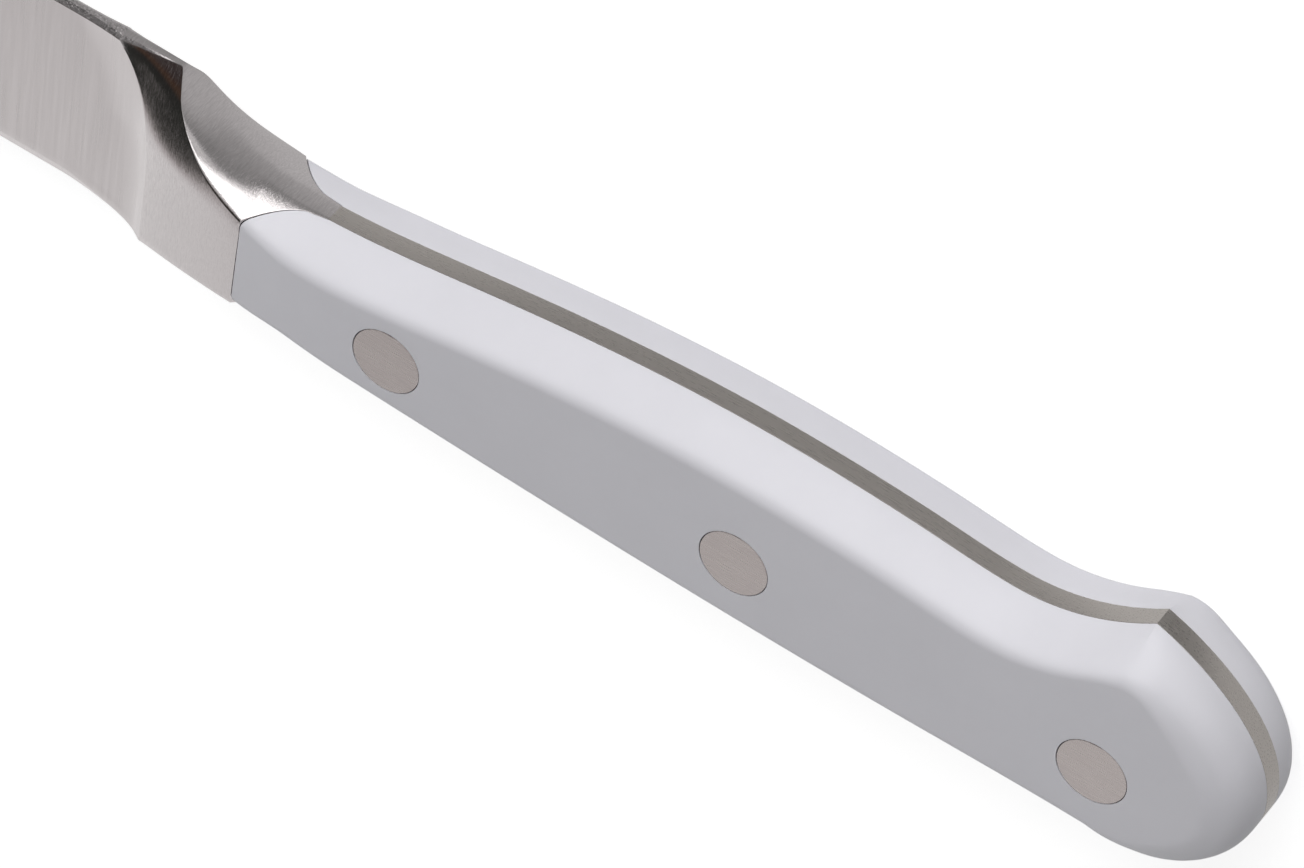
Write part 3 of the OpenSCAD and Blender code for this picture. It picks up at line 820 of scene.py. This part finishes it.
def acetal(name, colour_value):
    """Satin white acetal: moulded, then tumbled dull, with faint specks and scuffs."""
    material, tree, shader, coords = new_material(name)
    cloud = scratches(tree, coords, scale=(160, 160, 160), detail=4.0)
    scuff = scratches(tree, coords, scale=(700, 9000, 9000), turn=0.25)
    dress(tree, shader, colour_value, ranged(tree, (cloud, 0.3, 0.7, 0.985, 1.01)),
          ranged(tree, (scuff, 0.35, 0.65, 0.36, 0.46)), scuff, depth=0.004, strength=0.4)
    shader.inputs["IOR"].default_value = 1.48
    return material


# Operators

class KNIFE_OT_steel(bpy.types.Operator):
    """Forge the blade, the bolster and the full tang in one piece"""
    bl_idname = "knife.steel"
    bl_label = "Blade, bolster and tang"

    def execute(self, context):
        sizes = Sizes(context.scene)
        form = Form(sizes)
        settings = context.scene.knife_steel
        bm = bmesh.new()
        rows = []
        for (points, parts), zone in forging_rings(form):
            rows.append(([bm.verts.new(p) for p in place(points, sizes)], parts, zone))
        for (low, _, _), (high, parts, zone) in zip(rows, rows[1:]):
            count = len(low)
            for i in range(count):
                j = (i + 1) % count
                face = bm.faces.new((low[i], high[i], high[j], low[j]))
                # The top of the blade and of the bolster have finishes of their own
                face.material_index = 3 + zone if zone < 2 and parts[i] == 0 else zone
        for row, _, _ in (rows[0], rows[-1]):
            bm.faces.new(row)
        bmesh.ops.remove_doubles(bm, verts=bm.verts, dist=MERGE)
        bmesh.ops.dissolve_degenerate(bm, edges=bm.edges, dist=MERGE)
        bmesh.ops.recalc_face_normals(bm, faces=bm.faces)
        obj = new_object("forging", bm)
        finishes = (
            # Cross-ground stainless: faint lines across the blade soften what it mirrors
            steel("Blade steel, cross ground", settings.blade_colour, roughness=0.22,
                  grain=(2600, 60, 400), fine=(9000, 150, 900), bump=0.0009),
            # Belt-brushed stainless: brighter, with short lines round the bolster
            steel("Bolster steel, belt brushed", settings.bolster_colour, roughness=0.13,
                  grain=(7000, 900, 900), fine=(16000, 2000, 2000), bump=0.006, tone=0.12),
            # The tang's edge is ground with the scales on, so it is duller and a little warm
            steel("Tang edge steel, ground flush", settings.tang_colour, roughness=0.3,
                  grain=(300, 4000, 9000), fine=(600, 9000, 20000), bump=0.001),
            # The spine keeps a coarser grind that looks speckled
            steel("Spine steel, coarse ground", settings.blade_colour, roughness=0.22,
                  grain=(5000, 5000, 5000), fine=(9000, 9000, 9000), bump=0.003, tone=0.4),
            # The thumb hollow is brushed crosswise on a small wheel
            steel("Hollow steel, cross brushed", settings.blade_colour, roughness=0.14,
                  grain=(9000, 9000, 900), fine=(17000, 17000, 1700), bump=0.009, tone=0.12))
        for finish in finishes:
            obj.data.materials.append(finish)
        hole, reach = sizes.sleeve_diameter / 2 + sizes.fit_gap, sizes.half_tang + 1
        profile = [(0, -reach), (hole, -reach), (hole, reach), (0, reach)]
        cut(obj, [lathe("hole", profile, x, sizes, segments=64) for x in sizes.rivet_x])
        finish_shading(obj, degrees=28)
        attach(obj, "root")
        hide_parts("forged_blade")
        return {"FINISHED"}


def scale_level(form, k, gap):
    """One closed row of points of the upper scale, from the bolster along the spine, round
    the butt and back along the belly. Level -1 is the softened edge along the tang."""
    s = form.s
    turns = 44
    level = max(0, k)
    start = form.seat_x(level) + gap
    xs = [mix(start, s.beak_x, share) for share in [0] + steps(150, 1.15)]
    points = [form.scale_point((x, form.spine_at(x)), form.form_at(x), level) for x in xs]
    for t in steps(turns):
        points.append(form.scale_point(bezier(s.upper_butt, t), form.butt_form(t), level))
    for t in reversed(steps(turns + 1)[:-1]):
        points.append(form.scale_point(bezier(s.lower_butt, t), form.butt_form(t), level))
    points += [form.scale_point((x, form.belly_at(x)), form.form_at(x), level) for x in reversed(xs)]
    if k == 0:
        points = [(x, y, n + s.lip) for x, y, n in points]
    if k < 0:
        centre = s.butt_centre
        moved = []
        for x, y, n in points:
            if x > s.beak_x:
                size = math.hypot(x - centre[0], y - centre[1])
                x, y = mix(x, centre[0], s.lip / size), mix(y, centre[1], s.lip / size)
            else:
                y -= math.copysign(s.lip, y - centre[1])
            moved.append((x, y, n))
        points = moved
    return points


class KNIFE_OT_scales(bpy.types.Operator):
    """Shape both handle scales and cut the recesses for the rivets"""
    bl_idname = "knife.scales"
    bl_label = "Handle scales"

    def execute(self, context):
        sizes = Sizes(context.scene)
        form = Form(sizes)
        white = acetal("White acetal, satin", context.scene.knife_scales.scale_colour)
        levels = [scale_level(form, k, sizes.seam_gap) for k in range(-1, form.levels + 1)]
        for name, node, side in (("scale_upper", "upper_scale", 1), ("scale_lower", "lower_scale", -1)):
            bm = bmesh.new()
            rows = [[bm.verts.new(p) for p in place([(x, y, n * side) for x, y, n in level], sizes)]
                    for level in levels]
            skin(bm, rows)
            count = len(rows[0])
            for row in (rows[0], rows[-1]):
                for i in range(count // 2 - 1):
                    bm.faces.new((row[i], row[i + 1], row[count - 2 - i], row[count - 1 - i]))
            bmesh.ops.recalc_face_normals(bm, faces=bm.faces)
            obj = new_object(name, bm)
            obj.data.materials.append(white)
            cut(obj, [self.recess(sizes, x, side) for x in sizes.rivet_x])
            finish_shading(obj, degrees=30)
            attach(obj, "root")
            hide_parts(node)
        return {"FINISHED"}

    def recess(self, sizes, x, side):
        """The space for a rivet: a hole for its shank and a wider one for its head."""
        shank = sizes.sleeve_diameter / 2 + sizes.fit_gap
        head = sizes.head_diameter / 2 + sizes.groove
        floor = sizes.half_handle - sizes.head_depth
        profile = [(0, 0), (shank, 0), (shank, floor), (head, floor), (head, sizes.half_handle + 1),
                   (0, sizes.half_handle + 1)]
        return lathe("recess", [(r, h * side) for r, h in profile], x, sizes)


class KNIFE_OT_rivets(bpy.types.Operator):
    """Set the rivets: a row of headed sleeves, and a row of headed studs inside them"""
    bl_idname = "knife.rivets"
    bl_label = "Rivets"

    def execute(self, context):
        sizes = Sizes(context.scene)
        settings = context.scene.knife_rivets
        # Rivet steel, ground flush with the scales: dull, with straight scratches
        metal = steel("Rivet steel, ground flush", settings.rivet_colour, roughness=0.25,
                      grain=(300, 4500, 1000), fine=(700, 11000, 3000), bump=0.002, tone=0.16,
                      turn=0.08)
        head, shank, pin = sizes.head_diameter / 2, sizes.sleeve_diameter / 2, sizes.stud_diameter / 2
        bore = pin + sizes.fit_gap
        top = sizes.half_handle
        under = top - sizes.head_depth
        tip = -under + sizes.end_gap
        edge = sizes.chamfer
        sleeve = [(0, top), (head - edge, top), (head, top - edge), (head, under), (shank, under),
                  (shank, tip), (bore, tip), (bore, under), (0, under)]
        stud = [(0, -top), (head - edge, -top), (head, edge - top), (head, -under),
                (pin, -under), (pin, -tip), (0, -tip)]
        for name, profile, part in (("rivet_sleeves", sleeve, "sleeve"), ("rivet_studs", stud, "stud")):
            master = lathe(name + "_master", profile, sizes.rivet_x[0], sizes)
            obj = self.row(name, master, settings.count, sizes.rivet_pitch * MM, metal)
            bpy.data.objects.remove(master)
            finish_shading(obj, degrees=30)
            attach(obj, "root")
            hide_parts(*[spot + "_rivet_" + part for spot in ("front", "middle", "rear")])
        return {"FINISHED"}

    def row(self, name, master, count, pitch, metal):
        """Repeats the master along the handle with Geometry Nodes and returns a plain mesh."""
        tree = bpy.data.node_groups.new(name + "_row", "GeometryNodeTree")
        face = tree.interface
        face.new_socket("Geometry", in_out="OUTPUT", socket_type="NodeSocketGeometry")
        kinds = {"Rivet": "Object", "Count": "Int", "Pitch": "Float", "Metal": "Material"}
        sockets = {key: face.new_socket(key, in_out="INPUT", socket_type="NodeSocket" + kind)
                   for key, kind in kinds.items()}
        inputs = add(tree, "NodeGroupInput").outputs
        step = add(tree, "ShaderNodeCombineXYZ", {"X": inputs["Pitch"]}).outputs[0]
        line = add(tree, "GeometryNodeMeshLine", {"Count": inputs["Count"], "Offset": step}).outputs[0]
        shape = add(tree, "GeometryNodeObjectInfo", {"Object": inputs["Rivet"]}).outputs["Geometry"]
        spots = add(tree, "GeometryNodeInstanceOnPoints", {"Points": line, "Instance": shape}).outputs[0]
        real = add(tree, "GeometryNodeRealizeInstances", {"Geometry": spots}).outputs[0]
        dressed = add(tree, "GeometryNodeSetMaterial", {
            "Geometry": real, "Material": inputs["Metal"]}).outputs[0]
        add(tree, "NodeGroupOutput", {"Geometry": dressed})
        obj = new_object(name, bmesh.new())
        modifier = obj.modifiers.new("Row", "NODES")
        modifier.node_group = tree
        for key, value in zip(kinds, (master, count, pitch, metal)):
            modifier[sockets[key].identifier] = value
        apply_modifiers(obj)
        return obj


# What the steel mirrors of the world, by direction. A row names a part of the direction, the
# limits between which the light changes, and its strength at them.

PANEL = (("Y", 0.45, 0.6, 0, 3), ("lean", -0.03, 0.09, 0, 1), ("beyond", -0.56, -0.42, 0, 1),
         ("Z", 0.37, 0.46, 1, 0.2))
OVERHEAD = (("X", -0.85, -0.72, 0, 1), ("X", -0.22, -0.08, 1, 0), ("above", 0.2, 0.3, 0, 1))
LOW_DARK = (("Y", 0.62, 0.7, 0, 1), ("X", -0.3, -0.22, 1, 0), ("X", -0.6, -0.5, 0, 1))
OTHER_VIEWS = 0.6
# The direction's parts that lean: the border between pale and dark, the panel's lower edge, and
# how far the dark area overhead comes down on the spine's side
BORDER_LEAN = 0.1
PANEL_LEAN = -0.25
OVERHEAD_LEAN = ("Y", -0.5, 0.1, 0, 0.45)
# From pale on the edge's side, at -1, through dark overhead to the spine's side, at 1
ACROSS = (
    (-1.0, 0.92), (-0.683, 0.9), (-0.658, (0.62, 0.58, 0.58)), (-0.633, (0.33, 0.31, 0.3)),
    (-0.618, (0.11, 0.105, 0.1)), (-0.558, (0.03, 0.031, 0.028)), (-0.12, (0.03, 0.03, 0.028)),
    (0.33, (0.075, 0.045, 0.03)), (0.56, (0.045, 0.035, 0.035)), (0.765, 0.14), (0.845, 0.13),
    (0.865, 0.04))
# The pale side is brightest low down, and brighter again higher up
UPWARDS = ((0.05, 1.3), (0.2, 1.12), (0.35, 1.16), (0.55, 1.16))
# Where the soft light comes from: more from the tip's and the edge's side than from the butt's
# and the spine's, where the lamp stands
SOFT = (("X", -1, 1, 1.4, 0.6), ("Y", -1, 1, 1.8, 0.2))

# Painted reflection of the floor, painted light and shade by place: rows in millimetres from the knife's
# middle

NEAR = ("Y", -40, 20, 0, 1)
NEAR_SHADES = ((0.2, 1.0), (0.5, 0.68), (0.73, 0.68), (0.82, 0.6), (0.875, 0.39))
BEHIND = ("X", 86, 91, 0, 1)
BEHIND_SHADES = ("X", 91, 115, 0.72, 0.56)
AWAY = ("Y", 13.5, 17, 0, 1)
BESIDE = ("X", -10, 130, 0, 1)
BESIDE_SHADES = ((0.143, 0.43), (0.207, 0.33), (0.75, 0.35), (0.836, 0.17))
# A painted pale patch of light in the floor's painted reflection
PATCH = (("X", 37, 46, 0, 1), ("Y", 20, 26, 0, 1))
PATCH_SHADE = 0.88


class KNIFE_OT_stage(bpy.types.Operator):
    """Set the floor, the soft surroundings, the light and the camera"""
    bl_idname = "knife.stage"
    bl_label = "Stage"

    def execute(self, context):
        settings = context.scene.knife_stage
        self.floor(settings)
        self.world(context.scene, settings)
        self.light(settings)
        self.camera(context.scene)
        context.scene.view_settings.view_transform = "Standard"
        return {"FINISHED"}

    def floor(self, settings):
        bm = bmesh.new()
        half = settings.floor_size / 2
        # A hair below the knife, so that the faces that rest on it stay apart from it
        drop_down = 0.01 * MM
        bm.faces.new([bm.verts.new((x * half, y * half, -drop_down))
                      for x, y in ((-1, -1), (1, -1), (1, 1), (-1, 1))])
        floor = new_object("floor", bm)
        material = bpy.data.materials.new("Pale matt floor, painted reflection")
        tree = empty_tree(material)
        matt = add(tree, "ShaderNodeBsdfDiffuse", {"Color": tuple(settings.floor_colour)}).outputs[0]
        paths = add(tree, "ShaderNodeLightPath").outputs
        seen = add(tree, "ShaderNodeMath", {
            0: paths["Is Camera Ray"], 1: settings.floor_white}, operation="MULTIPLY").outputs[0]
        glow = add(tree, "ShaderNodeEmission", {"Strength": seen}).outputs[0]
        both = add(tree, "ShaderNodeAddShader", {0: matt, 1: glow}).outputs[0]
        # Painted reflection: mirrored rays see the floor glow with painted light and shade by place,
        # instead of its own matt shade
        mirrored = add(tree, "ShaderNodeEmission", {
            "Color": self.painted_floor_reflection(tree), "Strength": settings.floor_painted_reflection}).outputs[0]
        shown = add(tree, "ShaderNodeMixShader", {
            0: paths["Is Glossy Ray"], 1: both, 2: mirrored}).outputs[0]
        add(tree, "ShaderNodeOutputMaterial", {"Surface": shown})
        floor.data.materials.append(material)
        floor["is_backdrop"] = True

    def painted_floor_reflection(self, tree):
        """The painted reflection that the steel sees in the floor: painted light beyond the edge and
        beside the knife, painted shade away from its spine, and a painted pale patch."""
        coords = add(tree, "ShaderNodeTexCoord").outputs["Object"]
        parts = add(tree, "ShaderNodeSeparateXYZ", {0: coords}).outputs

        def over(*rows):
            return ranged(tree, *[(parts[axis], low * MM, high * MM, at_low, at_high)
                                  for axis, low, high, at_low, at_high in rows])

        shade = add(tree, "ShaderNodeValToRGB", {0: over(NEAR)}, NEAR_SHADES).outputs[0]
        beside = add(tree, "ShaderNodeValToRGB", {0: over(BESIDE)}, BESIDE_SHADES).outputs[0]
        for share, value in ((over(BEHIND), over(BEHIND_SHADES)), (over(AWAY), beside),
                             (over(*PATCH), PATCH_SHADE)):
            shade = add(tree, "ShaderNodeMix", {0: share, 2: shade, 3: value}).outputs[0]
        return shade

    def world(self, scene, settings):
        """Even soft surroundings, and what the steel mirrors by direction: pale on the edge's
        side, dark overhead, and a bright soft panel low on the spine's side."""
        world = bpy.data.worlds.new("Soft surroundings")
        scene.world = world
        tree = empty_tree(world)
        direction = add(tree, "ShaderNodeTexCoord").outputs["Generated"]
        separate = add(tree, "ShaderNodeSeparateXYZ", {0: direction}).outputs
        parts = {axis: separate[axis] for axis in "XYZ"}

        def towards(*rows):
            return ranged(tree, *[(parts[row[0]],) + row[1:] for row in rows])

        for key, values, operation in (
                ("across", (parts["Z"], BORDER_LEAN, parts["Y"]), "MULTIPLY_ADD"),
                ("lean", (parts["X"], PANEL_LEAN, parts["Z"]), "MULTIPLY_ADD"),
                ("beyond", (parts["X"], parts["Z"]), "SUBTRACT"),
                ("above", (parts["Z"], towards(OVERHEAD_LEAN)), "SUBTRACT")):
            parts[key] = add(
                tree, "ShaderNodeMath", dict(enumerate(values)), operation=operation).outputs[0]
        shades = add(tree, "ShaderNodeValToRGB", {0: towards(("across", -1, 1, 0, 1))}, [
            ((across + 1) / 2, value) for across, value in ACROSS]).outputs[0]
        height = add(tree, "ShaderNodeValToRGB", {0: parts["Z"]}, UPWARDS).outputs[0]
        base = add(tree, "ShaderNodeVectorMath", {0: shades, 1: height}, operation="MULTIPLY").outputs[0]
        # Dark overhead and beside the panel, and pale wherever only other views are mirrored
        dark = add(tree, "ShaderNodeMath", {
            0: towards(*OVERHEAD), 1: towards(*LOW_DARK)}, operation="MAXIMUM").outputs[0]
        lit = add(tree, "ShaderNodeMath", {
            0: towards(*PANEL), 1: ranged(tree, (dark, 0, 1, OTHER_VIEWS, 0))},
            operation="MAXIMUM").outputs[0]
        total = add(tree, "ShaderNodeVectorMath", {0: base, 1: lit}, operation="MAXIMUM").outputs[0]
        mirrored = add(tree, "ShaderNodeBackground", {"Color": total, "Strength": 1.0}).outputs[0]
        soft = add(tree, "ShaderNodeBackground", {
            "Color": towards(*SOFT), "Strength": settings.world_strength}).outputs[0]
        white = add(tree, "ShaderNodeBackground", {"Color": (1, 1, 1, 1), "Strength": 1.0}).outputs[0]
        paths = add(tree, "ShaderNodeLightPath").outputs
        around = add(tree, "ShaderNodeMixShader", {
            0: paths["Is Glossy Ray"], 1: soft, 2: mirrored}).outputs[0]
        seen = add(tree, "ShaderNodeMath", {
            0: paths["Is Camera Ray"], 1: paths["Is Transmission Ray"]}, operation="MAXIMUM")
        shown = add(tree, "ShaderNodeMixShader", {0: seen.outputs[0], 1: around, 2: white}).outputs[0]
        add(tree, "ShaderNodeOutputWorld", {"Surface": shown})

    def light(self, settings):
        lamp = bpy.data.lights.new("Top light", "SUN")
        lamp.energy = settings.sun_strength
        # As wide as a large softbox, low on the spine's side and a little towards the tip
        lamp.angle = math.radians(50)
        obj = bpy.data.objects.new("Top light", lamp)
        bpy.context.scene.collection.objects.link(obj)
        aim = Vector((-0.15, 0.93, 0.34))
        obj.rotation_mode = "QUATERNION"
        obj.rotation_quaternion = aim.to_track_quat("Z", "Y")
        obj.visible_glossy = False

    def camera(self, scene):
        data = bpy.data.cameras.new("Camera")
        data.sensor_fit = "HORIZONTAL"
        data.sensor_width = 36
        data.lens = 220.86
        data.clip_start, data.clip_end = 0.01, 20
        camera = bpy.data.objects.new("Camera", data)
        scene.collection.objects.link(camera)
        # The picture's own view: the camera's axes, and its place in millimetres
        right = Vector((0.830899, 0.124363, -0.542347))
        up = Vector((-0.480141, 0.652829, -0.5859))
        back = Vector((0.281196, 0.747227, 0.602147))
        spin = Matrix((right, up, back)).transposed().to_4x4()
        camera.matrix_world = Matrix.Translation(Vector((236.494, 480.798, 393.759)) * MM) @ spin
        scene.camera = camera


class KNIFE_PT_panel(bpy.types.Panel):
    """Sizes and colours of the knife"""
    bl_label = "Steak knife"
    bl_idname = "KNIFE_PT_panel"
    bl_space_type = "VIEW_3D"
    bl_region_type = "UI"
    bl_category = "Knife"

    def draw(self, context):
        for key, group in SETTINGS.items():
            box = self.layout.box()
            settings = getattr(context.scene, key)
            for name in group.__annotations__:
                box.prop(settings, name)
        for operator in OPERATORS:
            self.layout.operator(operator.bl_idname)


OPERATORS = (KNIFE_OT_steel, KNIFE_OT_scales, KNIFE_OT_rivets, KNIFE_OT_stage)
CLASSES = tuple(SETTINGS.values()) + OPERATORS + (KNIFE_PT_panel,)


def register():
    for item in CLASSES:
        bpy.utils.register_class(item)
    for key, group in SETTINGS.items():
        setattr(bpy.types.Scene, key, bpy.props.PointerProperty(type=group))


def unregister():
    for key in SETTINGS:
        delattr(bpy.types.Scene, key)
    for item in reversed(CLASSES):
        bpy.utils.unregister_class(item)


def main():
    register()
    bpy.ops.knife.steel()
    bpy.ops.knife.scales()
    bpy.ops.knife.rivets()
    bpy.ops.knife.stage()


if __name__ == "__main__":
    main()
